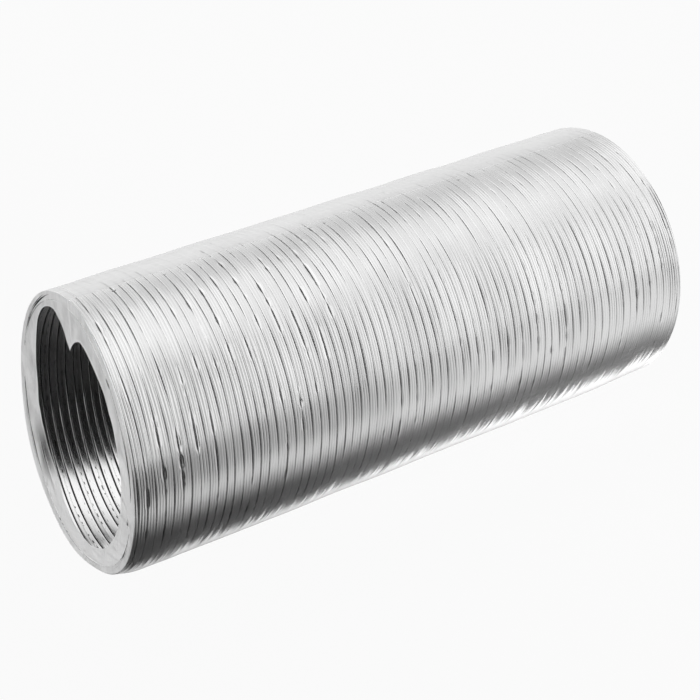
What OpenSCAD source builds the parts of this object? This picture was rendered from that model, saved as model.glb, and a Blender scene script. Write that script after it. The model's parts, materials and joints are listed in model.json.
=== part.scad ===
// Semi-rigid aluminium air duct, lying pushed together to its shortest length.
// Its wall is one corrugated strip, wound into a tube. Each turn of the strip carries two
// ribs and is locked to the next turn by a folded seam in the groove between them.
// A turn here is the wall around one seam, from the fold that opens on its near side to
// the fold that opens on its far side. Clear film is folded over both ends.
// The axis of the duct lies along X, and the duct rests on the plane Z = 0.

/* [Bore] */
// Radius of the bore, at the inside of the lock seams
bore_r = 63; // [40:0.5:160]

/* [Corrugated strip] */
// Thickness of the strip
strip_t = 0.3; // [0.2:0.05:0.4]
// Height of the corrugation, from the bore to the crests
rib_depth = 4.5; // [3.5:0.1:9]
// Distance between two ribs with the duct pushed together
rib_pitch = 4.55; // [4.2:0.05:8]
// Clear width of the groove between two ribs
groove_w = 0.7; // [0.6:0.05:1.5]
// Radius of the bend at a rib's shoulder
shoulder_r = 0.5; // [0.3:0.05:1]
// Radius of the bend at a rib's foot
foot_r = 0.25; // [0.2:0.05:0.3]
// How far a crest swells above its shoulders
crest_swell = 0.12; // [0.02:0.02:0.3]

/* [Lock seam] */
// Layers of strip that are folded together in a lock seam
seam_layers = 4; // [2:1:5]

/* [Turns] */
// Number of turns of the strip, each with two ribs
turns = 35; // [11:2:57]
// Gap at the fold between two turns
turn_gap = 0.3; // [0.2:0.05:0.4]

/* [Resting flat] */
// How deep the crests are pressed flat where the duct lies
flat_d = 0.5; // [0.3:0.1:1]

/* [End film] */
// Thickness of the folded film
film_t = 0.25; // [0.1:0.05:0.4]
// Length of film that lies around the ribs at each end
film_skirt = 9; // [5:0.5:20]
// Clearance between the film and the crests
film_clear = 0.1; // [0.05:0.05:0.3]
// How far the edge of the folded film stays outside the bore
film_lip_clear = 0.1; // [0.05:0.05:0.2]

/* [Hidden] */
ribs_per_turn = 2;
lead = ribs_per_turn * rib_pitch;
duct_l = turns * lead;
crest_r = bore_r + rib_depth;
axis_z = crest_r - flat_d;
// From the middle of the groove to the middle of the rib's side wall
wall_x = (groove_w + strip_t) / 2;
// Height of a shoulder above the foot, both measured on the middle of the strip
shoulder_h = rib_depth - strip_t - crest_swell;
foot_steps = 2;
shoulder_steps = 3;
// How far a cutting form runs past what it cuts
over = 1;
$fn = 180;

function turn_name(i) = str("turn_", i < 10 ? "0" : "", i);
function turn_x(i) = (i - (turns + 1) / 2) * lead;

// Points of a bend as [radius, x], from angle a0 to angle a1, measured from +x
function bend(x, h, r, a0, a1, steps) =
    [for (k = [0 : steps])
        let (a = a0 + (a1 - a0) * k / steps)
        [bore_r + strip_t / 2 + h + r * sin(a), x + r * cos(a)]];

// One side of the strip over one rib that starts at x0: side is 1 outside and -1 inside.
// Both sides share the centres of the bends, so the strip is equally thick all along.
function rib_points(x0, side) =
    let (half = side * strip_t / 2,
         foot = foot_r - half,
         shoulder = shoulder_r + half,
         foot_x = wall_x - foot_r,
         shoulder_x = wall_x + shoulder_r)
    concat(
        bend(x0 + foot_x, foot_r, foot, -90, 0, foot_steps),
        bend(x0 + shoulder_x, shoulder_h - shoulder_r, shoulder, 180, 90, shoulder_steps),
        [[bore_r + strip_t / 2 + shoulder_h + crest_swell + half, x0 + rib_pitch / 2]],
        bend(x0 + rib_pitch - shoulder_x, shoulder_h - shoulder_r, shoulder, 90, 0, shoulder_steps),
        bend(x0 + rib_pitch - foot_x, foot_r, foot, 180, 270, foot_steps));

// One side of the strip over a whole turn, whose lock seam is at x = 0
function turn_points(side, end_x) =
    let (land_r = bore_r + strip_t / 2 + side * strip_t / 2)
    concat([[land_r, -end_x]],
        [for (k = [0 : ribs_per_turn - 1]) each rib_points(k * rib_pitch - lead / 2, side)],
        [[land_r, end_x]]);

// A form turned about the axis of the duct, and cut flat at a height above the floor
module turned(points, x, floor_z) {
    difference() {
        translate([x, 0, axis_z])
            rotate([0, 90, 0])
            rotate_extrude()
            polygon(points);
        translate([-duct_l, -crest_r, floor_z - crest_r])
            cube([duct_l * 2, crest_r * 2, crest_r]);
    }
}

// The space that one side of the strip encloses
module strip_side(x, side, end_x, floor_z) {
    points = turn_points(side, end_x);
    turned(concat([[0, -end_x]], points, [[0, end_x]]), x, floor_z);
}

// The lock seam lies in the groove at the middle of the turn, between the side walls
module lock_seam(x) {
    r0 = bore_r + strip_t / 2;
    r1 = bore_r + seam_layers * strip_t;
    turned([[r0, -wall_x], [r1, -wall_x], [r1, wall_x], [r0, wall_x]], x, 0);
}

module turn(i) {
    x = turn_x(i);
    end_x = (lead - turn_gap) / 2;
    color("silver")
        union() {
            difference() {
                strip_side(x, 1, end_x, 0);
                strip_side(x, -1, end_x + over, strip_t);
            }
            lock_seam(x);
        }
}

// Film around the end ribs, folded flat over the end: end is -1 near and 1 far
module film_end(end) {
    face = (duct_l - turn_gap) / 2;
    lip_r = bore_r + film_lip_clear;
    skirt_r = crest_r + film_clear;
    profile = [
        [lip_r, face],
        [lip_r, face + film_t],
        [skirt_r + film_t, face + film_t],
        [skirt_r + film_t, face - film_skirt],
        [skirt_r, face - film_skirt],
        [skirt_r, face]];
    color([0.8, 0.8, 0.8, 0.6])
        turned([for (p = profile) [p[0], p[1] * end]], 0, 0);
}

module film_end_near() {
    film_end(-1);
}

module film_end_far() {
    film_end(1);
}

for (i = [1 : turns]) turn(i);
film_end_near();
film_end_far();
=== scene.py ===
"""A semi-rigid aluminium air duct in its clear film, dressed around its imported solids.

The wall is one strip of aluminium, corrugated and wound into a tube, with a lock seam in
every second groove. The duct lies pushed together on its side, with film shrunk round it
and folded over both ends. All lengths are in metres.

Points are first worked out as (x, angle, radius) about the duct's axis. The angle is 0 at
the top and grows towards the -Y side, which is a right-handed turn about +X.
"""

import enum
import json
import logging
import math
from dataclasses import dataclass

import bmesh
import bpy
import numpy as np
from mathutils import Matrix, Vector

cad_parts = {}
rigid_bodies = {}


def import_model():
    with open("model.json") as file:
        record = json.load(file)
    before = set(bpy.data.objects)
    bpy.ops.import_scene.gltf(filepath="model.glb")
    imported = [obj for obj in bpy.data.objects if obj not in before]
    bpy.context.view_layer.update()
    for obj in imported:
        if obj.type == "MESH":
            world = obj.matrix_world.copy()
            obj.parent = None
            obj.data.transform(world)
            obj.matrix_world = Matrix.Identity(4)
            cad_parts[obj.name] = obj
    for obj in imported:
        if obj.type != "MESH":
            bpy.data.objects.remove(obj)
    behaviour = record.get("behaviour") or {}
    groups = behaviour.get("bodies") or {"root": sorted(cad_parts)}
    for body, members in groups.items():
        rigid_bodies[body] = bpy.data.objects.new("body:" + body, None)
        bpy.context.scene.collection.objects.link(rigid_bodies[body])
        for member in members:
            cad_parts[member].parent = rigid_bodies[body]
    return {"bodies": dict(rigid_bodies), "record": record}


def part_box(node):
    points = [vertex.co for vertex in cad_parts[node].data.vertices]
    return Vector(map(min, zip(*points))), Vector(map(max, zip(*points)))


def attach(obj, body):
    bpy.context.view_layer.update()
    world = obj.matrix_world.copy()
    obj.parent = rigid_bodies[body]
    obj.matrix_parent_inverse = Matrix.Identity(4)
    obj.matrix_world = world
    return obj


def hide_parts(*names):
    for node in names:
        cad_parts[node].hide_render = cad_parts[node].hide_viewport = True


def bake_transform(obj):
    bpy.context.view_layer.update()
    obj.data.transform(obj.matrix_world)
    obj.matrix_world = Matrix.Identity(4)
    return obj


LOG = logging.getLogger("duct")
MM = 0.001
FULL_TURN = 2 * math.pi
# A smooth change: the place where it starts, where it ends, the level before and after.
Ramp = tuple[float, float, float, float]
Triple = tuple[float, float, float]

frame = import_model()

# The hole in the film at the near end: angles in degrees from the top, and radii as
# shares of the crests'.
NEAR_LIP = [
    (-180, 0.79), (-160, 0.74), (-140, 0.66), (-120, 0.665), (-85, 0.735), (-65, 0.775),
    (-50, 0.86), (-38, 0.905), (-26, 0.89), (-12, 0.80), (5, 0.76), (100, 0.757), (150, 0.785),
]
# The tongue of film at the near end: its angle, the radius of its tip, half its width.
NEAR_TONGUE = (-7, 0.61, 15)
# Slots torn in the film at the near end: the angle and the radius of each.
NEAR_SLOTS = [(40, 0.925), (102.5, 0.895)]
# A clearer patch in the film at the near end: angle, radius, half width and half height.
NEAR_WINDOW = (-127, 0.76, 14, 0.11)
# Where the film stands off the near rim: the angle, how far as a share of the crests'
# radius, and half the width.
NEAR_BULGES = [(-122, 0.042, 24), (9, 0.03, 12)]

# How bright the room is round the duct, as metal shows it: angles in degrees from straight
# up towards the camera's side, and levels.
ROOM = [
    (-180, 0.6), (-110, 0.85), (-95, 0.95), (-80, 0.97), (-65, 0.87), (-50, 0.70), (-37, 0.75),
    (-22, 0.95), (-5, 0.98), (20, 0.93), (45, 0.97), (65, 0.96), (85, 0.90), (110, 0.85),
    (180, 0.6),
]
# How the room changes along the duct: the X of the direction, a factor for the front of
# the room, and a factor for what is above.
ROOM_ALONG = [
    (-1.0, 0.01, 1.20), (-0.6, 0.02, 1.22), (-0.42, 0.95, 1.25), (0.2, 1.05, 1.15),
    (0.4, 0.43, 0.98), (0.47, 0.50, 0.98), (0.53, 0.80, 0.95), (0.6, 1.09, 0.94),
    (0.75, 1.2, 1.1), (1.0, 1.25, 1.15),
]


class Side(enum.Enum):
    """The two faces of the strip: its value is +1 outside the duct and -1 inside."""

    OUTSIDE = 1
    INSIDE = -1

    @property
    def steps(self) -> tuple[int, int, int, int]:
        """Steps over half a root and over the bends at a root and at a shoulder.

        The last number is how many points a crest has between its creases. The steps are
        finest where this side of the strip can be seen.
        """
        return (1, 2, 6, 9) if self is Side.OUTSIDE else (1, 3, 1, 3)


class End(enum.Enum):
    """The two ends of the duct: its value is the sign of X there."""

    NEAR = -1
    FAR = 1


# ---------------------------------------------------------------- places and shapes


def off_by(angle: np.ndarray, at: float) -> np.ndarray:
    """How far angles are from one given in degrees: between -180 and 180 degrees."""
    return (np.degrees(angle) - at + 180) % 360 - 180


def bell(off: np.ndarray) -> np.ndarray:
    """A bell curve of height 1, exp(-off * off)."""
    return np.exp(-(off**2))


@dataclass(frozen=True)
class Turns:
    """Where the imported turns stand.

    Attributes:
        names: The bodies of the turns, from the near end to the far end.
        centres: The x of each turn's lock seam.
        lead: The distance from one turn to the next.
        bore_r: The radius of the bore.
        crest_r: The radius of the crests of the ribs.
        axis_z: The height of the duct's axis.
    """

    names: list[str]
    centres: np.ndarray
    lead: float
    bore_r: float
    crest_r: float
    axis_z: float

    @classmethod
    def from_frame(cls) -> "Turns":
        """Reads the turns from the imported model.

        Returns:
            The turns, with the axis and the bore from the near spigot's mount.
        """
        names = sorted(name for name in frame["bodies"] if name.startswith("turn_"))
        boxes = [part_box(name) for name in names]
        centres = np.array([(low[0] + high[0]) / 2 for low, high in boxes])
        mount = next(m for m in frame["record"]["mounts"] if m["name"] == "spigot_near")
        axis_z = mount["pos_m"][2]
        return cls(
            names=names,
            centres=centres,
            lead=float(np.diff(centres).mean()),
            bore_r=mount["dims"]["r_mm"] * MM,
            crest_r=boxes[0][1][2] - axis_z,
            axis_z=axis_z,
        )

    @property
    def half_length(self) -> float:
        """Half the length of the duct."""
        return len(self.names) * self.lead / 2


@dataclass(frozen=True)
class Ripple:
    """A smooth random field over the wall, the same at every run.

    The field is a sum of cosines cos(m * angle + k * x + p) with whole numbers m, so that
    it closes round the duct, and is scaled to a root mean square of 1.

    Attributes:
        seed: The seed of the waves.
        lobes: The most waves round the duct.
        wavelength: The shortest wave along the duct.
        waves: How many cosines are summed.
    """

    seed: int
    lobes: int
    wavelength: float
    waves: int = 24

    def at(self, x: np.ndarray, angle: np.ndarray) -> np.ndarray:
        """Works out the field.

        Args:
            x: Places along the duct.
            angle: Places round the duct, of the same shape.

        Returns:
            The field's values, of the same shape.
        """
        rng = np.random.default_rng(self.seed)
        around = rng.integers(-self.lobes, self.lobes + 1, self.waves)
        along = rng.uniform(-FULL_TURN, FULL_TURN, self.waves) / self.wavelength
        phase = rng.uniform(0, FULL_TURN, self.waves)
        total = np.zeros(np.shape(x))
        for m, k, p in zip(around, along, phase):
            total += np.cos(m * angle + k * x + p)
        return total * math.sqrt(2 / self.waves)


@dataclass(frozen=True)
class Handling:
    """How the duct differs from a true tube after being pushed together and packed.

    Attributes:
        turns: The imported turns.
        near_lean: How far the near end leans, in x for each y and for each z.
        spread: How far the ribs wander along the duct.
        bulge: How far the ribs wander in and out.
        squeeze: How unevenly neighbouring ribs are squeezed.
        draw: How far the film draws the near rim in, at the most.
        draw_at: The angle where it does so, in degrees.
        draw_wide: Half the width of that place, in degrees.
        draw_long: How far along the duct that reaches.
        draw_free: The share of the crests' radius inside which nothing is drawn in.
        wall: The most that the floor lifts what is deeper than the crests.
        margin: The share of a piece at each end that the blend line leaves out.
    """

    turns: Turns
    near_lean: tuple[float, float] = (0.147, 0.034)
    spread: float = 0.30 * MM
    bulge: float = 0.14 * MM
    squeeze: float = 0.13 * MM
    draw: float = 4.6 * MM
    draw_at: float = 162
    draw_wide: float = 26
    draw_long: float = 15 * MM
    draw_free: float = 0.8
    wall: float = 0.4 * MM
    margin: float = 0.1
    slow: Ripple = Ripple(seed=11, lobes=3, wavelength=60 * MM)
    slow_out: Ripple = Ripple(seed=12, lobes=4, wavelength=40 * MM)
    quick: Ripple = Ripple(seed=13, lobes=5, wavelength=10 * MM)

    def near_share(self, x: np.ndarray | float) -> np.ndarray | float:
        """How much of the near end's lean there is at x: all at that end, none at the far."""
        half = self.turns.half_length
        return np.clip((half - x) / (2 * half), 0, 1)

    def drawn(self, x: np.ndarray, angle: np.ndarray, radius: np.ndarray) -> np.ndarray:
        """How far each point is drawn in: a bell curve round the rim, fading along it.

        Args:
            x: Places along the duct.
            angle: Places round it.
            radius: Distances from the axis.

        Returns:
            The distances inwards.
        """
        along = np.clip(1 - (x + self.turns.half_length) / self.draw_long, 0, 1)
        share = (radius / self.turns.crest_r - self.draw_free) / (1 - self.draw_free)
        here = bell(off_by(angle, self.draw_at) / self.draw_wide)
        return self.draw * along**2 * here * np.clip(share, 0, 1)

    def place(self, x: np.ndarray, angle: np.ndarray, radius: np.ndarray) -> np.ndarray:
        """Carries points of the true tube to where they lie on the real duct.

        The planes across the duct lean, so x grows with y and with the height above the
        axis. The ripples come on top, and no point goes below the floor.

        Args:
            x: Places along the duct.
            angle: Angles from the top towards the -Y side.
            radius: Distances from the axis.

        Returns:
            Points, with x, y and z in a last axis of 3.
        """
        out = radius + self.bulge * self.slow_out.at(x, angle) - self.drawn(x, angle, radius)
        along = x + self.spread * self.slow.at(x, angle) + self.squeeze * self.quick.at(x, angle)
        y = -out * np.sin(angle)
        height = out * np.cos(angle)
        lean = self.near_lean[0] * y + self.near_lean[1] * height
        depth = self.turns.crest_r - radius
        z = np.maximum(self.turns.axis_z + height, np.clip(depth, 0, self.wall))
        return np.stack([along + self.near_share(x) * lean, y, z], axis=-1)

    def blend_line(self, low: float, high: float) -> tuple[Vector, Vector]:
        """Where a piece between two planes starts and stops following the next turn.

        Args:
            low: The x of the piece's near plane on the axis.
            high: The x of its far plane.

        Returns:
            The first and last point of the change, inside the piece by the margin.
        """
        share = float(self.near_share((low + high) / 2))
        normal = Vector((1.0, -self.near_lean[0] * share, -self.near_lean[1] * share))
        step = normal * ((high - low) / normal.length_squared)
        first = Vector((low, 0.0, self.turns.axis_z))
        return first + step * self.margin, first + step * (1 - self.margin)


@dataclass(frozen=True)
class Sheet:
    """Points on a grid, with what the materials need there.

    Attributes:
        true_x: The x on the true tube, which says where the sheet is cut.
        points: Points of shape (rows, columns, 3).
        facing: 1 for a face that looks away from the axis, or -1.
        marks: Point attributes by name, each of shape (rows, columns).
        spare: Columns at each side that only serve the normals of the next ones.
    """

    true_x: np.ndarray
    points: np.ndarray
    facing: int
    marks: dict[str, np.ndarray]
    spare: int = 0

    def rows(self) -> np.ndarray:
        """All that is known of each point, without the spare columns.

        The normal is the cross product of the step round the duct and the step along it,
        which points away from the axis, times facing.

        Returns:
            True x, place, unit normal and marks, in a last axis of 7 and more.
        """
        along = np.gradient(self.points, axis=0)
        around = np.gradient(self.points, axis=1)
        normal = np.cross(around, along) * self.facing
        normal = normal / np.linalg.norm(normal, axis=-1, keepdims=True)
        marks = [mark[..., None] for mark in self.marks.values()]
        whole = np.concatenate([self.true_x[..., None], self.points, normal, *marks], axis=-1)
        return whole[:, self.spare : whole.shape[1] - self.spare]

    def faces(self, first: int) -> np.ndarray:
        """The squares of the grid.

        Args:
            first: The number of the sheet's first point.

        Returns:
            Four corners of every square, in an array of shape (squares, 4).
        """
        rows, columns = self.true_x.shape[0], self.true_x.shape[1] - 2 * self.spare
        number = np.arange(rows * columns).reshape(rows, columns) + first
        corners = [number[:-1, :-1], number[:-1, 1:], number[1:, 1:], number[1:, :-1]]
        return np.stack(corners[:: self.facing], axis=-1).reshape(-1, 4)


def mesh_from_sheets(
    name: str, sheets: list[Sheet], finish: bpy.types.Material, cut: tuple[float, ...] = ()
) -> bpy.types.Object:
    """Makes one object of several sheets, cut between two planes of the true tube.

    The cut is made while each point lies at (true x, its own y and z), so that a cut
    across ribs that climb is clean. The new points on the cut carry the place, normal and
    marks between those of their neighbours. Then every point goes to its place.

    Args:
        name: The name of the piece.
        sheets: The sheets, all with the same marks.
        finish: The material.
        cut: The x of the near plane and of the far plane, or nothing to keep all.

    Returns:
        The object, at the origin.
    """
    flat, faces, first = [], [], 0
    for sheet in sheets:
        rows = sheet.rows()
        flat.append(rows.reshape(-1, rows.shape[-1]))
        faces.append(sheet.faces(first))
        first += len(flat[-1])
    data = np.concatenate(flat)
    mesh = bpy.data.meshes.new(name)
    mesh.from_pydata(data[:, [0, 2, 3]], [], np.concatenate(faces))
    fields = {"place": data[:, 1:4], "facing": data[:, 4:7]}
    for key, values in fields.items():
        layer = mesh.attributes.new(key, "FLOAT_VECTOR", "POINT")
        layer.data.foreach_set("vector", values.astype(np.float32).ravel())
    for key, values in zip(sheets[0].marks, data[:, 7:].T):
        layer = mesh.attributes.new(key, "FLOAT", "POINT")
        layer.data.foreach_set("value", values.astype(np.float32))
    made = bmesh.new()
    made.from_mesh(mesh)
    bmesh.ops.remove_doubles(made, verts=made.verts, dist=1e-6)
    for x, outward in zip(cut, (-1, 1)):
        bmesh.ops.bisect_plane(
            made,
            geom=[*made.verts, *made.edges, *made.faces],
            dist=1e-7,
            plane_co=(x, 0, 0),
            plane_no=(outward, 0, 0),
            clear_outer=True,
        )
    made.to_mesh(mesh)
    made.free()
    place, facing = (np.empty(len(mesh.vertices) * 3, np.float32) for _ in fields)
    mesh.attributes["place"].data.foreach_get("vector", place)
    mesh.attributes["facing"].data.foreach_get("vector", facing)
    for key in fields:
        mesh.attributes.remove(mesh.attributes[key])
    mesh.vertices.foreach_set("co", place)
    mesh.polygons.foreach_set("use_smooth", np.ones(len(mesh.polygons), bool))
    mesh.update()
    facing = facing.reshape(-1, 3)
    facing /= np.linalg.norm(facing, axis=1, keepdims=True)
    mesh.normals_split_custom_set_from_vertices(facing)
    mesh.materials.append(finish)
    piece = bpy.data.objects.new(name, mesh)
    bpy.context.scene.collection.objects.link(piece)
    LOG.info("%s: %d faces", name, len(mesh.polygons))
    return piece


# ---------------------------------------------------------------- the strip


@dataclass(frozen=True)
class StripSection:
    """The section of the corrugated strip over one rib, from groove to groove.

    Pushed together, the strip folds back on itself: a groove is narrow at its mouth and
    wide at its root.

    Attributes:
        thickness: The thickness of the strip.
        depth: From the bore to the crests.
        pitch: From one groove to the next.
        mouth: The clear width of a groove at its mouth.
        root_w: Half the flat width of a root.
        root_r: The radius of the bends at a root.
        shoulder_r: The radius of the bend at a shoulder.
        swell: How far the crest stands above its shoulders.
        crease: The depth of the two rolled creases along a crest.
        crease_at: Where the creases lie, as a share of the half width of the crest.
        crease_w: Half the width of a crease, as a share in the same way.
        crease_reach: How far the closer points at a crease reach, in crease widths.
    """

    thickness: float
    depth: float
    pitch: float
    mouth: float = 0.24 * MM
    root_w: float = 1.55 * MM
    root_r: float = 0.35 * MM
    shoulder_r: float = 0.34 * MM
    swell: float = 0.03 * MM
    crease: float = 0.07 * MM
    crease_at: float = 0.42
    crease_w: float = 0.13
    crease_reach: float = 1.5

    def dips(self, from_crest: np.ndarray) -> np.ndarray:
        """How far a crest sinks, by the distance from its middle: a bell curve at each crease."""
        width = self.pitch / 2 - (self.mouth + self.thickness) / 2 - self.shoulder_r
        return bell((np.abs(from_crest) / width - self.crease_at) / self.crease_w)

    def points(self, side: Side) -> np.ndarray:
        """The outline of one side of the strip.

        It is half a root, a bend, a straight wall, a bend at the shoulder and a crest,
        then the same mirrored. The wall touches both bends: with D the distance between
        their centres, it is square to the direction that lies
        acos((root_r + shoulder_r) / D) from the line through them. The crest rises as
        1 - u * u and sinks by a bell curve at each crease.

        Args:
            side: The outside or the inside of the strip.

        Returns:
            Rows of (distance along the duct, height above the bore), in one pitch,
            without the last point, which is the first of the next rib.
        """
        half = side.value * self.thickness / 2
        flat_steps, root_steps, shoulder_steps, crest_points = side.steps
        top = self.depth - self.thickness - self.swell
        across = (self.mouth + self.thickness) / 2 + self.shoulder_r
        up = top - self.shoulder_r - self.root_r
        back = across - self.root_w
        apart = math.acos((self.root_r + self.shoulder_r) / math.hypot(back, up))
        square = math.degrees(math.atan2(up, back) - apart)

        def bend(x: float, h: float, r: float, a0: float, a1: float, n: int) -> np.ndarray:
            """Points of an arc from angle a0 to a1, in degrees from +x."""
            a = np.radians(np.linspace(a0, a1, n + 1))
            return np.stack([x + r * np.cos(a), h + r * np.sin(a)], axis=1)

        flat_x = np.linspace(0, self.root_w, flat_steps + 1)[:-1]
        flat = np.stack([flat_x, half + 0 * flat_x], axis=1)
        root = bend(self.root_w, self.root_r, self.root_r - half, -90, square, root_steps)
        high, radius = top - self.shoulder_r, self.shoulder_r + half
        shoulder = bend(across, high, radius, 180 + square, 90, shoulder_steps)
        u = np.linspace(-1, 1, crest_points)[1:-1]
        if side is Side.OUTSIDE:
            reach = np.linspace(-self.crease_reach, self.crease_reach, 5)
            close = self.crease_at + self.crease_w * reach
            u = np.unique(np.concatenate([u, close, -close]).round(3))
        width = self.pitch / 2 - across
        crest_h = top + half + self.swell * (1 - u * u) - self.crease * self.dips(u * width)
        crest = np.stack([self.pitch / 2 + u * width, crest_h], axis=1)
        rising = np.concatenate([flat, root, shoulder])
        falling = rising[:0:-1] * [-1, 1] + [self.pitch, 0]
        whole = np.concatenate([rising, crest, falling])
        return whole + [0, self.thickness / 2]


@dataclass(frozen=True)
class WoundStrip:
    """The wall of the duct: the strip, wound with its ribs climbing round the tube.

    Attributes:
        turns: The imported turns.
        handling: How the wall is bent out of true.
        section: The section of the strip.
        columns: Points round the duct.
        notch: How deep the shoulders sink where a lock seam gapes.
        notch_wide: Half the width of that, as a share of the shoulder's place.
        gape: How far each of them draws back there.
        spare: Lock seams before the first and after the last, which cut pieces need.
        nick_from: A lock seam gapes where an even noise between 0 and 1 is above this.
        nick_rise: How fast it opens above that.
        nick_patches: The mean and the swing of how much it opens, from place to place.
        nick_far: How much less it opens at the far end, as a share.
        pinch: How far the mouths of the grooves open and close.
        shut: How far they close towards the far end.
        tilt: How far the ribs lean to one side, as a slope.
        crush: How much deeper the creases of the crests are at the ends of the duct.
        crushed: How far from an end that starts.
        crush_tilted: The share of it that goes with the tilt, anywhere.
        end_gap: How far the wall ends inside the duct's full length.
    """

    turns: Turns
    handling: Handling
    section: StripSection
    columns: int = 224
    notch: float = 0.24 * MM
    notch_wide: float = 0.7
    gape: float = 0.30 * MM
    spare: int = 2
    nick_from: float = 0.545
    nick_rise: float = 2.5
    nick_patches: tuple[float, float] = (0.8, 0.6)
    nick_far: float = 0.5
    pinch: float = 0.10 * MM
    shut: float = 0.08 * MM
    tilt: float = 0.010
    crush: float = 0.26 * MM
    crushed: float = 20 * MM
    crush_tilted: float = 0.3
    end_gap: float = 0.15 * MM
    patchy: Ripple = Ripple(seed=31, lobes=4, wavelength=50 * MM)
    pinched: Ripple = Ripple(seed=33, lobes=16, wavelength=4 * MM)
    tilted: Ripple = Ripple(seed=34, lobes=7, wavelength=6 * MM)

    def nicks(self) -> np.ndarray:
        """How far each lock seam gapes, from an even noise.

        Returns:
            A row for each seam and a column for each point round it: 0 where it is shut
            and 1 at most.
        """
        rng = np.random.default_rng(32)
        raw = rng.random((len(self.turns.names) + 2 * self.spare, self.columns))
        even = (np.roll(raw, 1, axis=1) + 2 * raw + np.roll(raw, -1, axis=1)) / 4
        share = (even - self.nick_from) / (1 - self.nick_from)
        return np.clip(share * self.nick_rise, 0, 1)

    def gaping(self, s: np.ndarray, x: np.ndarray, around: np.ndarray) -> np.ndarray:
        """How far the lock seams gape: the nicks, times a patchy ripple, less at the far end.

        Args:
            s: Distances across the strip from the first lock seam.
            x: Places along the duct.
            around: Places round it.

        Returns:
            The share of the full gape at the nearest lock seam.
        """
        seam = np.floor(s / self.turns.lead + 0.5).astype(int) + self.spare
        column = np.arange(-1, self.columns + 2) % self.columns
        mean, swing = self.nick_patches
        patch = np.clip(mean + swing * self.patchy.at(x, around), 0, 1.5)
        far = 1 - self.handling.near_share(x)
        return self.nicks()[seam, column[None, :]] * patch * (1 - self.nick_far * far)

    def sheet(self, side: Side, low: float, high: float) -> Sheet:
        """One side of the wall, from a little before low to a little after high.

        The strip's own coordinate s is the distance across the strip from the first lock
        seam, counted on from turn to turn, and a point lies at
        x = first seam + s + lead * angle / (one full turn). The ribs change their form by
        the share up, which is 0 in the lower half of a groove and 1 at the crests.

        Args:
            side: The outside or the inside of the strip.
            low: The near plane of the piece.
            high: The far plane.

        Returns:
            The sheet, which covers the piece all round.
        """
        lead, pitch = self.turns.lead, self.section.pitch
        rib = self.section.points(side)
        seam_x = self.turns.centres[0]
        first = math.floor((low - lead - seam_x) / lead) * 2 - 1
        last = math.ceil((high - seam_x) / lead) * 2 + 1
        ribs = np.arange(first, last)
        across = (seam_x + ribs[:, None] * pitch + rib[None, :, 0]).ravel()
        height = np.tile(rib[:, 1], len(ribs))
        keep = (across > low - lead - pitch / 2) & (across < high + pitch / 2)
        step = FULL_TURN / self.columns
        angle = np.linspace(0, FULL_TURN, self.columns + 1)
        angle = np.concatenate([[-step], angle, [FULL_TURN + step]])
        across, around = np.meshgrid(across[keep], angle, indexing="ij")
        height = height[keep][:, None]
        s = across - seam_x
        x = across + lead * around / FULL_TURN
        from_seam = (s + lead / 2) % lead - lead / 2
        from_groove = (s + pitch / 2) % pitch - pitch / 2
        from_crest = s % pitch - pitch / 2
        up = np.clip(2 * height / self.section.depth - 1, 0, 1)

        nick = self.gaping(s, x, around) * up
        shoulder = self.section.mouth / 2 + self.section.shoulder_r
        beside = bell((np.abs(from_seam) - shoulder) / (self.notch_wide * shoulder))
        radius = self.turns.bore_r + height - self.notch * nick * beside

        far = 1 - self.handling.near_share(x)
        pinch = self.pinch * self.pinched.at(x - from_groove, around)
        closing = (pinch + self.shut * far) * up
        closing = closing - self.gape * nick * (np.abs(from_seam) < pitch / 2)
        near_groove = np.clip(2 - 2 * np.abs(from_groove) / (pitch / 2), 0, 1)
        x = x - np.sign(from_groove) * closing * near_groove

        tilted = self.tilted.at(x - from_crest, around)
        ends = np.clip((np.abs(x) - self.turns.half_length) / self.crushed + 1, 0, 1)
        worn = self.crush * (ends + self.crush_tilted * np.clip(tilted, 0, 1.5))
        radius = radius + self.tilt * tilted * from_crest * up
        radius = radius - worn * self.section.dips(from_crest) * up
        marks = {
            "along": self.turns.crest_r * (around + FULL_TURN * np.floor(s / lead)),
            "across": from_seam,
            "inner": 0 * x + (side is Side.INSIDE),
        }
        points = self.handling.place(x, around, radius)
        return Sheet(x, points, side.value, marks, spare=1)

    def build(self, finish: bpy.types.Material) -> list[bpy.types.Object]:
        """Makes a piece of wall for each fold, and one for each end.

        A piece reaches from the lock seam of one turn to that of the next.

        Args:
            finish: The material of the strip.

        Returns:
            The pieces, from the near end to the far end.
        """
        names, centres = self.turns.names, self.turns.centres
        end = self.turns.half_length - self.end_gap
        planes = [-end, *centres, end]
        made = []
        for k, (low, high) in enumerate(zip(planes[:-1], planes[1:])):
            sheets = [self.sheet(side, low, high) for side in Side]
            piece = mesh_from_sheets(f"strip_{k:02d}", sheets, finish, (low, high))
            bodies = names[max(k - 1, 0) : k + 1]
            if len(bodies) == 1:
                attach(piece, bodies[0])
            else:
                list(self.handling.blend_line(low, high))
                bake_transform(piece)
            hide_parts(*bodies)
            made.append(piece)
        return made


# ---------------------------------------------------------------- the film


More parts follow.
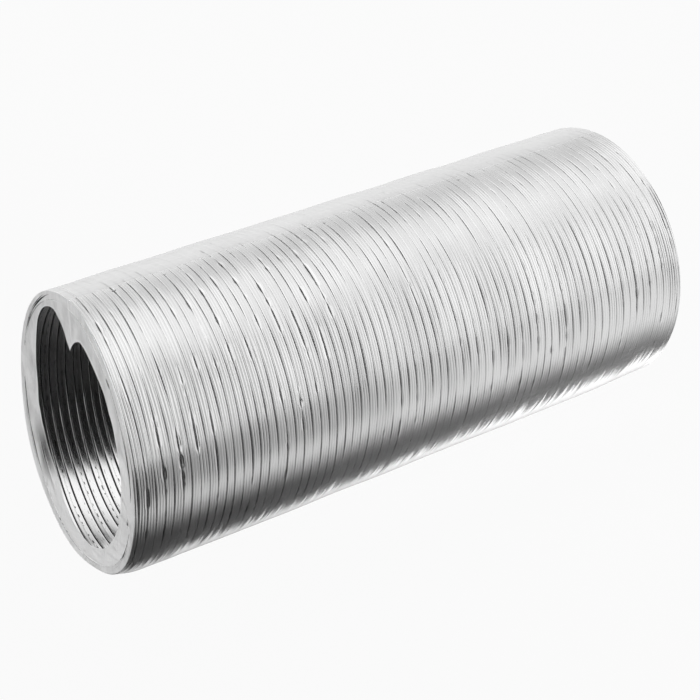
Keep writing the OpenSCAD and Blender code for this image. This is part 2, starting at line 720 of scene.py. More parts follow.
@dataclass(frozen=True)
class Film:
    """The clear film, shrunk round the duct and folded over its ends.

    Attributes:
        turns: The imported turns.
        handling: How the duct is bent out of true, which the film follows.
        clearance: From the crests to the film.
        seam_angle: Where the weld of the film runs along the duct.
        weld_wide: Half the width of the weld.
        flap_angle: How far round, behind the weld, the film lies double.
        flap_soft: How softly that ends.
        slack_angle: From where on, counted from the top, the film hangs clear of the ribs
            at the far end.
        slack_drift: How much later it does so at the near end.
        slack_soft: The angle over which it comes loose.
        hang: How far it hangs clear, at the most.
        hang_from: How far from its ends that is reached.
        columns: Points round the duct.
        rows: Points along a piece of the barrel.
        corner: The radius of the film's bend at a rim.
        dish: How far the lip stands inside the rim's plane.
        pucker: How much further it stands in where the film is creased.
        taut: How much slack the folding takes out.
        hem: One part in this many of the flat part is thick, at the lip.
        bulge_back: The share of a bulge that reaches round the rim.
        lip_soft: Over how many degrees the near lip is smoothed.
        tongue_point: How pointed the tongue is.
        far_lip: The radius of the far hole and how far it wanders, as shares of the crests'.
        slot_size: Half the width of a slot in degrees, and half its height as such a share.
        window_clear: How much clearer the film is in its clearer patch.
    """

    turns: Turns
    handling: Handling
    clearance: float = 0.12 * MM
    seam_angle: float = math.radians(-3)
    weld_wide: float = math.radians(0.45)
    flap_angle: float = math.radians(46)
    flap_soft: float = math.radians(3)
    slack_angle: float = math.radians(113)
    slack_drift: float = math.radians(13)
    slack_soft: float = math.radians(12)
    hang: float = 1.2 * MM
    hang_from: float = 25 * MM
    columns: int = 180
    rows: int = 9
    corner: float = 0.5 * MM
    dish: float = 0.8 * MM
    pucker: float = 0.25 * MM
    taut: float = 4.0
    hem: float = 12.0
    bulge_back: float = 0.2
    lip_soft: int = 17
    tongue_point: float = 1.3
    far_lip: tuple[float, float] = (0.82, 0.012)
    slot_size: tuple[float, float] = (2.1, 0.014)
    window_clear: float = 0.85
    creases: Ripple = Ripple(seed=51, lobes=14, wavelength=18 * MM)
    wander: Ripple = Ripple(seed=52, lobes=6, wavelength=18 * MM)

    def angles(self) -> np.ndarray:
        """Angles round the duct, closer together at the weld, the slots and the tongue.

        Returns:
            The angles in order, from the weld once round to the weld.
        """
        even = np.linspace(0, FULL_TURN, self.columns + 1) + self.seam_angle
        close = np.radians([0.15, 0.3, 0.5, 0.8, 1.2, 1.6])
        weld = [self.seam_angle + close, self.seam_angle + FULL_TURN - close]
        slots = [np.radians(at) + np.radians(np.linspace(-3, 3, 13)) for at, _ in NEAR_SLOTS]
        tongue = np.radians(NEAR_TONGUE[0]) + FULL_TURN + np.radians([-1.5, -0.7, 0, 0.7, 1.5])
        return np.unique(np.concatenate([even, *weld, tongue, *slots]))

    def marks(self, x: np.ndarray, angle: np.ndarray) -> dict[str, np.ndarray]:
        """How milky the film is: double behind the weld, thick along it, slack below.

        Args:
            x: Places along the duct.
            angle: Places round it.

        Returns:
            The marks by name. Slack is 0 where the film leaves the ribs, and 1 well below.
        """
        past = (self.seam_angle - angle) % FULL_TURN
        flap = 1 / (1 + np.exp((past - self.flap_angle) / self.flap_soft))
        weld = bell(np.minimum(past, FULL_TURN - past) / self.weld_wide)
        below = np.abs((angle + math.pi) % FULL_TURN - math.pi)
        leaves = self.slack_angle + self.slack_drift * np.sqrt(self.handling.near_share(x))
        slack = (below - leaves) / self.slack_soft
        return {"milk": flap, "weld": weld, "slack": slack, "slot": 0 * angle}

    def sleeve(self, low: float, high: float) -> Sheet:
        """The film round the barrel between two planes.

        The radius is that of the crests plus the clearance, and more where it hangs clear.

        Args:
            low: The x of the near plane.
            high: The x of the far plane.

        Returns:
            The sheet.
        """
        x, angle = np.meshgrid(np.linspace(low, high, self.rows), self.angles(), indexing="ij")
        marks = self.marks(x, angle)
        from_end = (self.turns.centres[-1] - np.abs(x)) / self.hang_from
        clear = np.clip(marks["slack"] / 2, 0, 1) * np.clip(from_end, 0, 1)
        radius = self.turns.crest_r + self.clearance + self.hang * clear
        return Sheet(x, self.handling.place(x, angle, radius), 1, marks)

    def build(self, clear: bpy.types.Material) -> list[bpy.types.Object]:
        """Makes the film along the barrel, one piece for each fold of the duct.

        Args:
            clear: The material of a single layer.

        Returns:
            The pieces, from the near end to the far end.
        """
        names, centres = self.turns.names, self.turns.centres
        made = []
        for k, (low, high) in enumerate(zip(centres[:-1], centres[1:]), start=1):
            piece = mesh_from_sheets(f"film_{k:02d}", [self.sleeve(low, high)], clear)
            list(self.handling.blend_line(low, high))
            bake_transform(piece)
            made.append(piece)
        return made

    def lip(self, end: End, angle: np.ndarray) -> np.ndarray:
        """The radius of the hole that the film leaves open at an end.

        At the near end it goes smoothly through the radii that NEAR_LIP gives, and a
        pointed tongue reaches inwards from it. At the far end it is nearly round.

        Args:
            end: The end of the duct.
            angle: Places round it.

        Returns:
            The radii.
        """
        crest = self.turns.crest_r
        if end is End.FAR:
            share, swing = self.far_lip
            return crest * (share + swing * self.wander.at(0 * angle, angle))
        fine = np.arange(-180.0, 180.0)
        curve = np.interp(fine, *np.array(NEAR_LIP).T, period=360)
        kernel, wrap = np.hanning(self.lip_soft), self.lip_soft // 2
        curve = np.concatenate([curve[-wrap:], curve, curve[:wrap]])
        curve = np.convolve(curve, kernel / kernel.sum(), "valid")
        curve = np.interp(np.degrees(angle), fine, curve, period=360)
        tongue_at, tip, half = NEAR_TONGUE
        reach = np.clip(1 - np.abs(off_by(angle, tongue_at)) / half, 0, 1) ** self.tongue_point
        return crest * (curve * (1 - reach) + tip * reach)

    def holes(self, around: np.ndarray, share: np.ndarray) -> np.ndarray:
        """How open the near film is: flat-topped bell curves at its slots and clear patch.

        Args:
            around: Places round the duct.
            share: Radii as shares of the crests'.

        Returns:
            The levels, 1 where the film is torn through.
        """
        wide, high = self.slot_size
        level = 0 * share
        for at, middle in NEAR_SLOTS:
            slot = -((off_by(around, at) / wide) ** 4) - ((share - middle) / high) ** 4
            level = np.maximum(level, np.exp(slot))
        at, middle, wide, high = NEAR_WINDOW
        window = -((off_by(around, at) / wide) ** 2) - ((share - middle) / high) ** 4
        return np.maximum(level, self.window_clear * np.exp(window))

    def fold(self, end: End) -> Sheet:
        """The film over one end: along the first ribs, round the edge and flat inwards.

        The profile is a straight line along the crests, a quarter arc round the edge and
        a straight line inwards to the lip, which stands a little inside. The near one
        stands off the rim as NEAR_BULGES says.

        Args:
            end: The end of the duct.

        Returns:
            The sheet.
        """
        face, corner = self.turns.half_length, self.corner
        crest = self.turns.crest_r
        flat_r = crest + self.clearance - corner
        reach = np.linspace(face - self.turns.lead / 2, face - corner, 6)
        turn = np.linspace(0, math.pi / 2, 5)[1:]
        inwards = np.linspace(0, 1, 30)[1:]
        angle = self.angles()
        lip = self.lip(end, angle)
        x_row = np.concatenate([reach, face - corner + corner * np.sin(turn), face + 0 * inwards])
        bent = np.concatenate([corner + 0 * reach, corner * np.cos(turn)])
        barrel = flat_r + bent[:, None] + 0 * angle
        radius = np.concatenate([barrel, flat_r + (lip - flat_r) * inwards[:, None]])
        x, around = np.meshgrid(x_row, angle, indexing="ij")
        depth = np.clip((flat_r - radius) / (flat_r - lip), 0, 1)
        x = x - self.dish * depth - self.pucker * depth * np.abs(self.creases.at(radius, around))
        x = x * end.value
        on_face = np.clip((x_row - reach[-1]) / corner, 0, 1)[:, None]
        marks = self.marks(x, around)
        marks["milk"] = np.maximum(marks["milk"], on_face)
        marks["slack"] = marks["slack"] - self.taut * on_face
        marks["weld"] = np.maximum(marks["weld"], np.clip((depth - 1) * self.hem + 1, 0, 1))
        if end is End.NEAR:
            outwards = np.clip((radius - lip) / (flat_r - lip), 0, 1)
            for at, share, wide in NEAR_BULGES:
                stand = share * crest * bell(off_by(around, at) / wide)
                radius = radius + stand * outwards * np.maximum(on_face, self.bulge_back)
            marks["slot"] = self.holes(around, radius / crest)
        return Sheet(x, self.handling.place(x, around, radius), end.value, marks)

    def build_folds(self, milky: bpy.types.Material) -> list[bpy.types.Object]:
        """Makes the film that is folded over each end.

        Args:
            milky: The material of film that lies in folds.

        Returns:
            The near piece and the far piece.
        """
        made = []
        for end, body in ((End.NEAR, self.turns.names[0]), (End.FAR, self.turns.names[-1])):
            side = end.name.lower()
            piece = mesh_from_sheets(f"film_fold_{side}", [self.fold(end)], milky)
            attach(piece, body)
            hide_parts(f"film_end_{side}")
            made.append(piece)
        return made


# ---------------------------------------------------------------- finishes


class Nodes:
    """Adds shader nodes to a tree, one call for each node."""

    def __init__(self, tree: bpy.types.NodeTree) -> None:
        """Keeps the tree."""
        self.tree = tree

    def add(self, kind: str, sets: dict | None = None, **inputs: object) -> bpy.types.Node:
        """Adds one node.

        Args:
            kind: The node's type, without the word ShaderNode.
            sets: Properties of the node.
            inputs: Input sockets by name, with _ for a space, or by number after a _: a
                value, or a socket to link from.

        Returns:
            The node.
        """
        node = self.tree.nodes.new("ShaderNode" + kind)
        for key, value in (sets or {}).items():
            setattr(node, key, value)
        for key, value in inputs.items():
            self.feed(node, int(key[1:]) if key[1:].isdigit() else key.replace("_", " "), value)
        return node

    def feed(self, node: bpy.types.Node, name: str | int, value: object) -> None:
        """Links a socket to one of a node's inputs, or sets its value."""
        if isinstance(value, bpy.types.NodeSocket):
            self.tree.links.new(value, node.inputs[name])
        else:
            node.inputs[name].default_value = value

    def mark(self, name: str) -> bpy.types.NodeSocket:
        """Reads a point attribute of the mesh."""
        return self.add("Attribute", {"attribute_name": name}).outputs["Fac"]

    def place(self) -> bpy.types.NodeSocket:
        """Reads the place in the object's own coordinates."""
        return self.add("TexCoord").outputs["Object"]

    def split(self, vector: bpy.types.NodeSocket) -> bpy.types.NodeOutputs:
        """Takes a vector apart."""
        return self.add("SeparateXYZ", Vector=vector).outputs

    def noise(
        self,
        where: bpy.types.NodeSocket,
        scale: Triple,
        detail: float,
        rough: float = 0.5,
        turned: float = 0.0,
    ) -> bpy.types.NodeSocket:
        """Reads a noise, stretched along the axes.

        Args:
            where: Where to read it.
            scale: How many times it repeats in a metre, along each axis.
            detail: How fine its detail goes.
            rough: How strong its fine detail is.
            turned: By what angle it is turned about the third axis once stretched.

        Returns:
            The socket of its level.
        """
        drawn = self.add("Mapping", Vector=where, Rotation=(0.0, 0.0, turned), Scale=scale)
        sets = {"Scale": 1.0, "Detail": detail, "Roughness": rough}
        return self.add("TexNoise", Vector=drawn.outputs[0], **sets).outputs["Fac"]

    def math(
        self, kind: str, a: object, b: object, c: object = 0.0, clamp: bool = False
    ) -> bpy.types.NodeSocket:
        """Adds a Math node.

        Args:
            kind: The operation.
            a: The first value or socket.
            b: The second.
            c: The third, where the operation takes one.
            clamp: Whether the result is kept between 0 and 1.

        Returns:
            The socket of the result.
        """
        sets = {"operation": kind, "use_clamp": clamp}
        return self.add("Math", sets, _0=a, _1=b, _2=c).outputs[0]

    def product(self, first: object, *others: object) -> bpy.types.NodeSocket:
        """Multiplies values together."""
        for value in others:
            first = self.math("MULTIPLY", first, value)
        return first

    def mix(self, share: object, first: object, last: object) -> bpy.types.NodeSocket:
        """Goes from the first value to the last as the share goes from 0 to 1."""
        return self.add("Mix", {"data_type": "FLOAT"}, _0=share, _2=first, _3=last).outputs[0]

    def tint(self, share: object, first: object, last: Triple) -> bpy.types.NodeSocket:
        """Goes from the first colour to the last as the share goes from 0 to 1."""
        first = first if isinstance(first, bpy.types.NodeSocket) else (*first, 1)
        sets = {"data_type": "RGBA"}
        return self.add("Mix", sets, _0=share, _6=first, _7=(*last, 1)).outputs[2]

    def ramp(
        self, value: bpy.types.NodeSocket, ramp: Ramp, kind: str = "SMOOTHSTEP"
    ) -> bpy.types.NodeSocket:
        """Goes smoothly from one level to another, by the cubic 3 * t ** 2 - 2 * t ** 3.

        Args:
            value: Where to read it.
            ramp: The two places and the two levels.
            kind: The kind of change, such as LINEAR for an even one.

        Returns:
            The socket of the level.
        """
        low, high, first, last = ramp
        sets = {"interpolation_type": kind}
        return self.add("MapRange", sets, _0=value, _1=low, _2=high, _3=first, _4=last).outputs[0]

    def curve(
        self, value: bpy.types.NodeSocket, pairs: list[tuple[float, float]], top: float
    ) -> bpy.types.NodeSocket:
        """Reads a smooth curve through some points.

        Args:
            value: Where to read it.
            pairs: Points of the curve, from the smallest place to the largest.
            top: A height that no point exceeds.

        Returns:
            The socket of the curve's height.
        """
        low, high = pairs[0][0], pairs[-1][0]
        node = self.add("FloatCurve", Value=self.ramp(value, (low, high, 0.0, 1.0), "LINEAR"))
        points = node.mapping.curves[0].points
        for _ in pairs[2:]:
            points.new(0.5, 0.5)
        for point, (at, level) in zip(points, pairs):
            point.location = ((at - low) / (high - low), level / top)
            point.handle_type = "AUTO_CLAMPED"
        node.mapping.update()
        return self.math("MULTIPLY", node.outputs[0], top)


def new_material(name: str) -> tuple[bpy.types.Material, Nodes, bpy.types.Node]:
    """A material with an empty Principled shader.

    Args:
        name: The material's name.

    Returns:
        The material, its nodes and the shader.
    """
    material = bpy.data.materials.new(name)
    material.use_nodes = True
    return material, Nodes(material.node_tree), material.node_tree.nodes["Principled BSDF"]


@dataclass(frozen=True)
class BareAluminium:
    """Bright rolled aluminium strip.

    Attributes:
        colour: The colour of the clean metal.
        dull: The colour where it has dulled.
        dulling: How dull it is, by the level of the clouds.
        clouds: How many clouds lie in a metre.
        roughness: How rough the metal is, by the level of the rolling lines.
        line_length: How long the rolling lines are.
        line_width: How wide they are.
        line_depth: How deep they are.
        line_strength: How much of that shows.
        ridges: How steep the fine ridges of the inside lean, as a slope, by x.
        uneven: How much the rolling lines change that, and the share that stays.
        pit: How long the pits along a lock seam are.
        pit_line: How much of a pit shows, by the distance from the seam.
        pit_edge: How strongly a pit shows, by the level of its noise.
        pit_shade_colour: How dark the pits are painted: painted shade that stands for gaps in the
            inner lock seams.
    """

    colour: Triple = (0.88, 0.88, 0.88)
    dull: Triple = (0.72, 0.72, 0.72)
    dulling: Ramp = (0.35, 0.75, 0.0, 0.5)
    clouds: float = 40.0
    roughness: Ramp = (0.3, 0.7, 0.112, 0.224)
    line_length: float = 30 * MM
    line_width: float = 0.25 * MM
    line_depth: float = 0.05 * MM
    line_strength: float = 0.25
    ridges: Ramp = (-30 * MM, 30 * MM, -0.9, 0.9)
    uneven: tuple[float, float] = (0.7, 0.65)
    pit: float = 3.0 * MM
    pit_line: Ramp = (0.4 * MM, 0.6 * MM, 1.0, 0.0)
    pit_edge: Ramp = (0.53, 0.57, 0.0, 1.0)
    pit_shade_colour: Triple = (0.03, 0.03, 0.03)

    def material(self) -> bpy.types.Material:
        """Builds the material from the strip's own along and across coordinates.

        Inside, rolling leaves ridges too fine for the mesh. Whoever looks in sees only
        the faces of them that face the nearer mouth, so the normal leans that way.

        Returns:
            The material.
        """
        made, nodes, shader = new_material("bare_aluminium")
        place = nodes.place()
        across, inner = nodes.mark("across"), nodes.mark("inner")
        strip = nodes.add("CombineXYZ", X=nodes.mark("along"), Y=across).outputs[0]
        lines = nodes.noise(strip, (1 / self.line_length, 1 / self.line_width, 1), 3.0, 0.6)
        pits = nodes.noise(strip, (1 / self.pit, 1 / self.pit, 1), 1.0)
        clouds = nodes.noise(place, (self.clouds,) * 3, 2.0)
        colour = nodes.tint(nodes.ramp(clouds, self.dulling, "LINEAR"), self.colour, self.dull)
        # Painted shade: near-black pits along the inner lock seams stand for the shade in gaps of
        # the seam.
        line = nodes.ramp(nodes.math("ABSOLUTE", across, 0.0), self.pit_line)
        hole = nodes.product(nodes.ramp(pits, self.pit_edge), line, inner)
        nodes.feed(shader, "Base Color", nodes.tint(hole, colour, self.pit_shade_colour))
        nodes.feed(shader, "Roughness", nodes.ramp(lines, self.roughness, "LINEAR"))
        nodes.feed(shader, "Metallic", 1.0)
        bump = nodes.add(
            "Bump", Strength=self.line_strength, Distance=self.line_depth, Height=lines
        )
        mouth = nodes.ramp(nodes.split(place)["X"], self.ridges)
        uneven = nodes.math("MULTIPLY_ADD", lines, *self.uneven)
        lean = nodes.add("CombineXYZ", X=nodes.product(mouth, uneven, inner)).outputs[0]
        faced = nodes.add("VectorMath", {"operation": "ADD"}, _0=bump.outputs[0], _1=lean)
        normal = nodes.add("VectorMath", {"operation": "NORMALIZE"}, _0=faced.outputs[0])
        nodes.feed(shader, "Normal", normal.outputs[0])
        return made


@dataclass(frozen=True)
class FilmHaze:
    """Where shrink film is milky or loose: a node group for every film material.

    Attributes:
        clouds: How often the clouds of haze repeat along each axis.
        clouds_turned: By what angle they are turned.
        patches: How much haze there is, by the level of the clouds.
        wisps: How often the wisps at the edge of the loose part repeat along each axis.
        wisp_reach: How far they reach.
        loosening: How loose the film is, by its slack and the wisps.
        weld: How much more light the weld stops.
    """

    clouds: Triple = (30, 110, 60)
    clouds_turned: float = 0.6
    patches: Ramp = (0.3, 0.7, 0.7, 1.2)
    wisps: Triple = (780, 20, 20)
    wisp_reach: float = 2.5
    loosening: Ramp = (0.95, 2.2, 0.0, 1.0)
    weld: float = 0.35

    def group(self) -> bpy.types.NodeTree:
        """Builds the group.

        Haze is (Clear + (Milky - Clear) * Milk) * patches + weld * Weld + Hanging * Loose,
        and Cloud is a height for a bump.

        Returns:
            The group, with the film's marks and levels as inputs.
        """
        tree = bpy.data.node_groups.new("film_haze", "ShaderNodeTree")
        tree.interface.new_socket("Place", in_out="INPUT", socket_type="NodeSocketVector")
        for name in ("Milk", "Weld", "Slack", "Clear", "Milky", "Hanging"):
            tree.interface.new_socket(name, in_out="INPUT", socket_type="NodeSocketFloat")
        for name in ("Haze", "Loose", "Cloud"):
            tree.interface.new_socket(name, in_out="OUTPUT", socket_type="NodeSocketFloat")
        given = tree.nodes.new("NodeGroupInput").outputs
        nodes = Nodes(tree)
        cloud = nodes.noise(given["Place"], self.clouds, 4.0, 0.6, self.clouds_turned)
        wisps = nodes.noise(given["Place"], self.wisps, 3.0, 0.6)
        ragged = nodes.math("MULTIPLY_ADD", wisps, self.wisp_reach, given["Slack"])
        loose = nodes.ramp(ragged, self.loosening)
        more = nodes.math("SUBTRACT", given["Milky"], given["Clear"])
        haze = nodes.math("MULTIPLY_ADD", given["Milk"], more, given["Clear"])
        haze = nodes.product(haze, nodes.ramp(cloud, self.patches, "LINEAR"))
        haze = nodes.math("MULTIPLY_ADD", given["Weld"], self.weld, haze)
        haze = nodes.math("MULTIPLY_ADD", loose, given["Hanging"], haze)
        out = tree.nodes.new("NodeGroupOutput")
        for name, value in {"Haze": haze, "Loose": loose, "Cloud": cloud}.items():
            nodes.feed(out, name, value)
        return tree


@dataclass(frozen=True)
class ShrinkFilm:
    """Clear shrink film, milky where it lies double or slack.

    Attributes:
        name: The material's name.
        clear: How much of the light a single layer stops, seen square on.
        milky: How much a milky layer stops.
        hanging: How much a slack layer stops.
        colour: The colour of a milky layer.
        roughness: How rough the film is.
        milk_metal: How much a milky layer shines like foil.
        square: How much more it stops by its gloss, seen square on.
        forwards: The share of what metal mirrors that comes through.
        wrinkle: How deep its wrinkles are.
        wrinkle_strength: How much of that shows.
    """

    name: str = "clear_film"
    clear: float = 0.05
    milky: float = 0.50
    hanging: float = 0.85
    colour: Triple = (0.90, 0.90, 0.90)
    roughness: float = 0.2
    milk_metal: float = 0.0
    square: float = 0.04
    forwards: float = 0.9
    wrinkle: float = 0.4 * MM
    wrinkle_strength: float = 0.35

    def material(self, group: bpy.types.NodeTree) -> bpy.types.Material:
        """Builds the material.

        It stops more light edge on: 0.04 + 0.96 * facing ** 5, which is Schlick's formula,
        and is the same from inside and outside. What the metal mirrors comes through it,
        because milky film scatters light forwards.

        Args:
            group: The node group of the film's haze.

        Returns:
            The material.
        """
        made, nodes, shader = new_material(self.name)
        marks = {name.title(): nodes.mark(name) for name in ("milk", "weld", "slack")}
        levels = {"Clear": self.clear, "Milky": self.milky, "Hanging": self.hanging}
        sets = {"node_tree": group}
        film = nodes.add("Group", sets, Place=nodes.place(), **marks, **levels).outputs
        facing = nodes.add("LayerWeight", Blend=0.5).outputs["Facing"]
        edge_on = nodes.math("POWER", facing, 5.0)
        glance = nodes.math("MULTIPLY_ADD", edge_on, 1 - self.square, self.square)
        passed = nodes.math("SUBTRACT", 1.0, glance)
        stopped = nodes.math("MULTIPLY_ADD", passed, film["Haze"], glance)
        mirrored = nodes.add("LightPath").outputs["Is Glossy Ray"]
        scattered = nodes.math("MULTIPLY_ADD", mirrored, -self.forwards, 1.0)
        whole = nodes.math("SUBTRACT", 1.0, nodes.mark("slot"))
        stopped = nodes.product(stopped, scattered)
        nodes.feed(shader, "Alpha", nodes.math("MULTIPLY", stopped, whole, clamp=True))
        white = nodes.math("MAXIMUM", marks["Milk"], film["Loose"])
        nodes.feed(shader, "Metallic", nodes.mix(white, 1.0, self.milk_metal))
        bump = {"Strength": self.wrinkle_strength, "Distance": self.wrinkle}
        nodes.feed(shader, "Normal", nodes.add("Bump", Height=film["Cloud"], **bump).outputs[0])
        nodes.feed(shader, "Base Color", (*self.colour, 1))
        nodes.feed(shader, "Roughness", self.roughness)
        return made


@dataclass(frozen=True)
class WhiteFloor:
    """The finish of the floor: white to the camera. Metal mirrors it as the lamps light it close
    to the duct, and elsewhere as a glow of painted light and shade, set by place.

    Attributes:
        front: The painted level of light that metal sees in front, by x less slant times the
        distance aside, which is that from the duct's middle plane.
        slant: How much that is.
        pale: A level which takes its place close to the duct and far away.
        close: How far it does so, by the distance aside.
        distant: The same for what lies far away.
        behind: The least level behind the duct, by y.
        shaded: A factor that darkens it left of the near end, by x: painted shade.
        beside: How far the floor glows to metal, by the distance aside.
        beyond: The same, by x. Elsewhere metal sees the floor as the lamps light it.
        shade_colour: The floor's colour, by x: a dark grey, darker towards the near end, that
            metal mirrors close to the duct. It is painted shade, which deepens the contact shadow
            there.
        glow: How far it glows to the camera, which leaves a soft shadow.
        roughness: How rough the floor is.
    """

    front: Ramp = (-0.23, 0.11, 0.30, 0.85)
    slant: float = 0.64
    pale: float = 0.85
    close: Ramp = (0.2, 0.12, 0.0, 0.6)
    distant: Ramp = (0.3, 0.9, 0.0, 0.33)
    behind: Ramp = (0.1, 0.3, 0.0, 0.85)
    shaded: Ramp = (-0.13, -0.165, 1.0, 0.03)
    beside: Ramp = (0.07, 0.13, 0.0, 1.0)
    beyond: Ramp = (-0.17, -0.21, 0.0, 1.0)
    shade_colour: Ramp = (-0.17, 0.17, 0.11, 0.31)
    glow: float = 0.95
    roughness: float = 0.9

    def material(self) -> bpy.types.Material:
        """Mixes the lit floor with a glow, whose level depends on the kind of ray. The level that
        metal sees is painted light and shade, set by place.

        Returns:
            The material.
        """
        made, nodes, shader = new_material("floor_white")
        path = nodes.add("LightPath").outputs
        spot = nodes.split(nodes.place())
        x, aside = spot["X"], nodes.math("ABSOLUTE", spot["Y"], 0.0)
        # Painted light and shade for metal: a glow level set by place, pale aside, far off and
        # behind.
        level = nodes.ramp(nodes.math("MULTIPLY_ADD", aside, -self.slant, x), self.front)
        pale = nodes.math(
            "MAXIMUM", nodes.ramp(aside, self.close), nodes.ramp(aside, self.distant)
        )
        level = nodes.mix(pale, level, self.pale)
        level = nodes.math("MAXIMUM", level, nodes.ramp(spot["Y"], self.behind))
        # Painted shade: the glow that metal sees is darkened left of the near end.
        level = nodes.product(level, nodes.ramp(x, self.shaded))
        away = nodes.math("MAXIMUM", nodes.ramp(aside, self.beside), nodes.ramp(x, self.beyond))
        mirrored = nodes.product(path["Is Glossy Ray"], away)
        share = nodes.math("MULTIPLY_ADD", path["Is Camera Ray"], self.glow, mirrored)
        white = nodes.add("Emission", Strength=nodes.mix(path["Is Camera Ray"], level, 1.0))
        mixed = nodes.add("MixShader", _0=share, _1=shader.outputs[0], _2=white.outputs[0])
        nodes.feed(made.node_tree.nodes["Material Output"], "Surface", mixed.outputs[0])
        # Painted shade: the floor's dark grey colour, darker towards the near end, deepens the
        # shadow that metal mirrors near the duct.
        nodes.feed(shader, "Base Color", nodes.ramp(x, self.shade_colour))
        nodes.feed(shader, "Roughness", self.roughness)
        return made


# ---------------------------------------------------------------- the studio


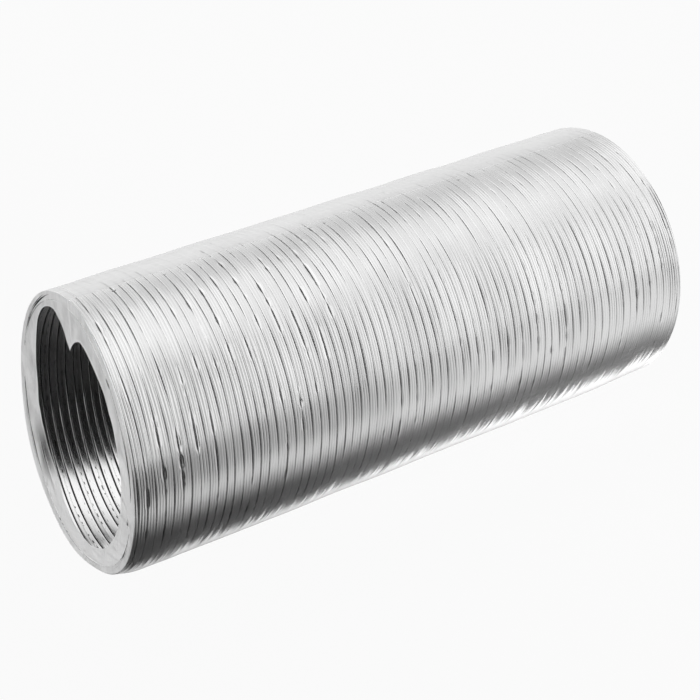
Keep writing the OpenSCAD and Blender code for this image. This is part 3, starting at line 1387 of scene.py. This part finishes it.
@dataclass(frozen=True)
class Studio:
    """The plain studio: a white floor, a pale room, soft boxes and the camera.

    Attributes:
        turns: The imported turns, for sizes.
        azimuth: The camera's angle round the duct, in degrees.
        elevation: The camera's angle above the floor, in degrees.
        distance: From the duct's centre to the camera, in crest radii.
        focal_px: The focal length, in pixels of the frame.
        frame_px: The side of the frame, in pixels.
        shift: How far the camera stands to the side and up, in crest radii.
        floor_side: Half the side of the floor.
        floor_drop: How far the floor lies below the duct.
        ambient: What the room adds to matt surfaces.
        front: Where the room is front rather than above, by the angle round the duct.
        front_left: The same, seen towards the left.
        left: How far a direction points to the left, by its X.
        back: Where the room is behind the duct, by the angle round it.
        back_dark: How much darker the left of that is.
    """

    turns: Turns
    azimuth: float = -36.57
    elevation: float = 29.07
    distance: float = 16.216
    focal_px: float = 2205.5
    frame_px: float = 700.0
    shift: tuple[float, float] = (-0.0213, -0.0987)
    floor_side: float = 6.0
    floor_drop: float = 0.05 * MM
    ambient: float = 0.10
    front: Ramp = (3.0, 42.0, 0.0, 1.0)
    front_left: Ramp = (12.0, 24.0, 0.0, 1.0)
    left: Ramp = (-0.42, -0.58, 0.0, 1.0)
    back: Ramp = (-62.0, -42.0, 1.0, 0.0)
    back_dark: float = 0.985

    def camera(self) -> bpy.types.Object:
        """Sets the camera up, level, and looking past the middle of the duct.

        Returns:
            The camera.
        """
        a, e = math.radians(self.azimuth), math.radians(self.elevation)
        back = Vector((math.sin(a) * math.cos(e), -math.cos(a) * math.cos(e), math.sin(e)))
        right = Vector((math.cos(a), math.sin(a), 0))
        up = back.cross(right)
        data = bpy.data.cameras.new("camera")
        data.sensor_width = 36.0
        data.lens = self.focal_px / self.frame_px * data.sensor_width
        data.clip_start, data.clip_end = 0.05, 50.0
        camera = bpy.data.objects.new("camera", data)
        away = back * self.distance + right * self.shift[0] + up * self.shift[1]
        place = Vector((0, 0, self.turns.axis_z)) + away * self.turns.crest_r
        turned = Matrix((right, up, back)).transposed().to_4x4()
        camera.matrix_world = Matrix.Translation(place) @ turned
        bpy.context.scene.collection.objects.link(camera)
        bpy.context.scene.camera = camera
        return camera

    def lamp(
        self, name: str, size: tuple[float, float], place: Triple, radiance: float
    ) -> bpy.types.Object:
        """A soft box that faces the duct, with its length level along X. Metal doesn't show it.

        Args:
            name: The lamp's name.
            size: Its length along X and its width.
            place: Its centre.
            radiance: How bright its face is.

        Returns:
            The lamp.
        """
        data = bpy.data.lights.new(name, "AREA")
        data.shape = "RECTANGLE"
        data.size, data.size_y = size
        data.energy = math.pi * size[0] * size[1] * radiance
        lamp = bpy.data.objects.new(name, data)
        z = (Vector(place) - Vector((0, 0, self.turns.axis_z))).normalized()
        x = Vector((1, 0, 0))
        x = (x - z * x.dot(z)).normalized()
        turned = Matrix((x, z.cross(x), z)).transposed().to_4x4()
        lamp.matrix_world = Matrix.Translation(place) @ turned
        lamp.visible_glossy = False
        lamp.visible_camera = False
        bpy.context.scene.collection.objects.link(lamp)
        return lamp

    def floor(self) -> bpy.types.Object:
        """Lays a white floor, which keeps a soft shadow.

        Returns:
            The floor, which is no part of the duct.
        """
        side, z = self.floor_side, -self.floor_drop
        mesh = bpy.data.meshes.new("floor")
        corners = [(-side, -side, z), (side, -side, z), (side, side, z), (-side, side, z)]
        mesh.from_pydata(corners, [], [(0, 1, 2, 3)])
        mesh.materials.append(WhiteFloor().material())
        floor = bpy.data.objects.new("floor", mesh)
        bpy.context.scene.collection.objects.link(floor)
        return floor

    def room(self) -> bpy.types.World:
        """A pale room with a white wall behind the duct.

        Metal sees the room as ROOM gives it, times ROOM_ALONG, darker at the back towards
        the left. The camera sees white. What the room adds to matt surfaces is the plain
        ambient level.

        Returns:
            The world.
        """
        world = bpy.data.worlds.new("studio")
        world.use_nodes = True
        bpy.context.scene.world = world
        nodes = Nodes(world.node_tree)
        split = nodes.split(nodes.add("TexCoord").outputs["Generated"])
        towards = nodes.product(split["Y"], -1.0)
        angle = nodes.math("MULTIPLY", nodes.math("ARCTAN2", towards, split["Z"]), 180 / math.pi)
        level = nodes.curve(angle, ROOM, 1.2)
        ahead = nodes.curve(split["X"], [(x, level) for x, level, _ in ROOM_ALONG], 1.3)
        above = nodes.curve(split["X"], [(x, level) for x, _, level in ROOM_ALONG], 1.3)
        left = nodes.ramp(split["X"], self.left)
        front = nodes.mix(left, nodes.ramp(angle, self.front), nodes.ramp(angle, self.front_left))
        factor = nodes.mix(front, above, ahead)
        back = nodes.product(nodes.ramp(angle, self.back), left, self.back_dark)
        seen = nodes.product(level, factor, nodes.math("SUBTRACT", 1.0, back))
        path = nodes.add("LightPath").outputs
        metal = nodes.mix(path["Is Glossy Ray"], self.ambient, seen)
        direct = nodes.math("MAXIMUM", path["Is Camera Ray"], path["Is Transmission Ray"])
        room = world.node_tree.nodes["Background"]
        nodes.feed(room, "Color", (1, 1, 1, 1))
        nodes.feed(room, "Strength", nodes.mix(direct, metal, 1.0))
        return world

    def build(self) -> None:
        """Sets up the floor, the room, the lamps and the camera."""
        self.floor()
        self.room()
        self.lamp("overhead", (1.2, 0.5), (0.15, 0.42, 1.0), 4.0)
        self.lamp("low_front", (0.3, 0.03), (0.12, -0.6, 0.02), 200.0)
        self.lamp("near_side", (0.63, 1.05), (-2.1, -0.525, 0.336), 18.0)
        self.camera()
        bpy.context.scene.view_settings.view_transform = "Standard"


# ---------------------------------------------------------------- the whole duct


def main() -> None:
    """Builds the duct and the studio."""
    logging.basicConfig(level=logging.INFO, format="%(message)s")
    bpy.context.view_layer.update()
    turns = Turns.from_frame()
    handling = Handling(turns)
    depth, pitch = turns.crest_r - turns.bore_r, turns.lead / 2
    section = StripSection(thickness=0.3 * MM, depth=depth, pitch=pitch)
    Studio(turns).build()
    WoundStrip(turns, handling, section).build(BareAluminium().material())
    haze = FilmHaze().group()
    folded = ShrinkFilm("folded_film", milky=0.93, roughness=0.35, milk_metal=0.1)
    film = Film(turns, handling)
    film.build(ShrinkFilm().material(haze))
    film.build_folds(folded.material(haze))


if __name__ == "__main__":
    main()
